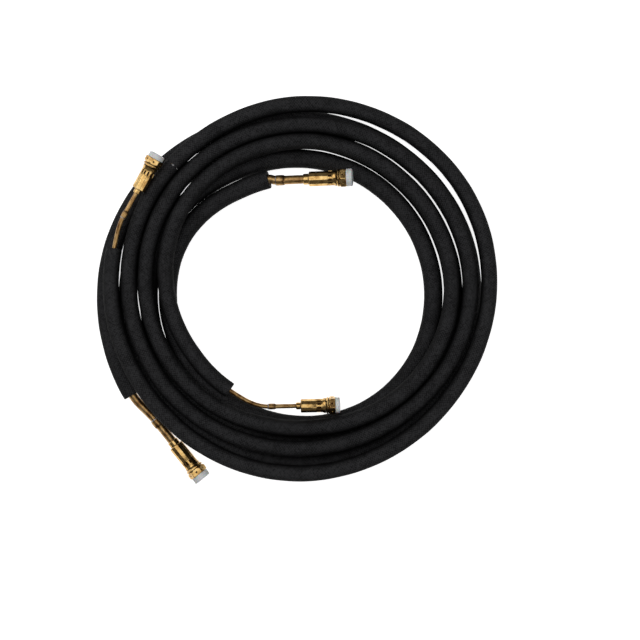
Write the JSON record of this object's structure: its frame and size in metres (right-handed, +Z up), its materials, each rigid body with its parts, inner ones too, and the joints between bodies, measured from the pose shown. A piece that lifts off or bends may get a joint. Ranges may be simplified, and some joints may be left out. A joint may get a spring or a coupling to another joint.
{
  "type": "mini split line set",
  "caption": "Flat coil of paired foam-insulated copper refrigerant lines for a mini split air conditioner, with brass union couplings and plastic dust caps on the ends.",
  "frame": {"origin": "on the floor under the middle of the set's bounding box, as the coil lies flat", "axes": "+Z up, through the coil's eye; +X along the widest way across, from the couplings' side of the coil to the plain side"},
  "size_m": [0.581, 0.5618, 0.0664],
  "materials": {
    "copper": "satin",
    "brass": "satin",
    "solder": "satin",
    "foam": "matte",
    "cap": "satin"
  },
  "bodies": {
    "line_set": {"suction_copper_tube": "copper", "liquid_copper_tube": "copper", "suction_insulation": "foam", "liquid_insulation_outer": "foam", "liquid_insulation_inner": "foam", "suction_inner_stub_pipe": "copper", "suction_inner_braze_ring": "solder", "suction_inner_coupling_body": "brass", "suction_outer_stub_pipe": "copper", "suction_outer_braze_ring": "solder", "suction_outer_coupling_body": "brass", "liquid_outer_stub_pipe": "copper", "liquid_outer_braze_ring": "solder", "liquid_outer_coupling_body": "brass", "liquid_inner_stub_pipe": "copper", "liquid_inner_braze_ring": "solder", "liquid_inner_coupling_body": "brass"},
    "suction_inner_nut": {"suction_inner_union_nut": "brass"},
    "suction_inner_cap": {"suction_inner_dust_cap": "cap"},
    "suction_outer_nut": {"suction_outer_union_nut": "brass"},
    "suction_outer_cap": {"suction_outer_dust_cap": "cap"},
    "liquid_outer_nut": {"liquid_outer_union_nut": "brass"},
    "liquid_outer_cap": {"liquid_outer_dust_cap": "cap"},
    "liquid_inner_nut": {"liquid_inner_union_nut": "brass"},
    "liquid_inner_cap": {"liquid_inner_dust_cap": "cap"}
  },
  "joints": [
    {"name": "suction_inner_nut_turn", "type": "hinge", "parent": "line_set", "child": "suction_inner_nut", "pos_m": [0.06523, 0.16261, 0.04202], "axis": [0.9932, 0.0317, 0.112], "continuous": true},
    {"name": "suction_inner_cap_pull", "type": "slide", "parent": "suction_inner_nut", "child": "suction_inner_cap", "axis": [0.9932, 0.0317, 0.112], "range_m": [0, 0.01]},
    {"name": "suction_outer_nut_turn", "type": "hinge", "parent": "line_set", "child": "suction_outer_nut", "pos_m": [-0.14637, -0.26101, 0.0131], "axis": [0.6279, -0.7783, -0.0028], "continuous": true},
    {"name": "suction_outer_cap_pull", "type": "slide", "parent": "suction_outer_nut", "child": "suction_outer_cap", "axis": [0.6279, -0.7783, -0.0028], "range_m": [0, 0.01]},
    {"name": "liquid_outer_nut_turn", "type": "hinge", "parent": "line_set", "child": "liquid_outer_nut", "pos_m": [-0.20527, 0.18291, 0.0533], "axis": [0.4896, 0.8659, 0.1026], "continuous": true},
    {"name": "liquid_outer_cap_pull", "type": "slide", "parent": "liquid_outer_nut", "child": "liquid_outer_cap", "axis": [0.4896, 0.8659, 0.1026], "range_m": [0, 0.01]},
    {"name": "liquid_inner_nut_turn", "type": "hinge", "parent": "line_set", "child": "liquid_inner_nut", "pos_m": [0.04926, -0.16552, 0.033], "axis": [0.9989, 0.0187, -0.0424], "continuous": true},
    {"name": "liquid_inner_cap_pull", "type": "slide", "parent": "liquid_inner_nut", "child": "liquid_inner_cap", "axis": [0.9989, 0.0187, -0.0424], "range_m": [0, 0.01]}
  ]
}
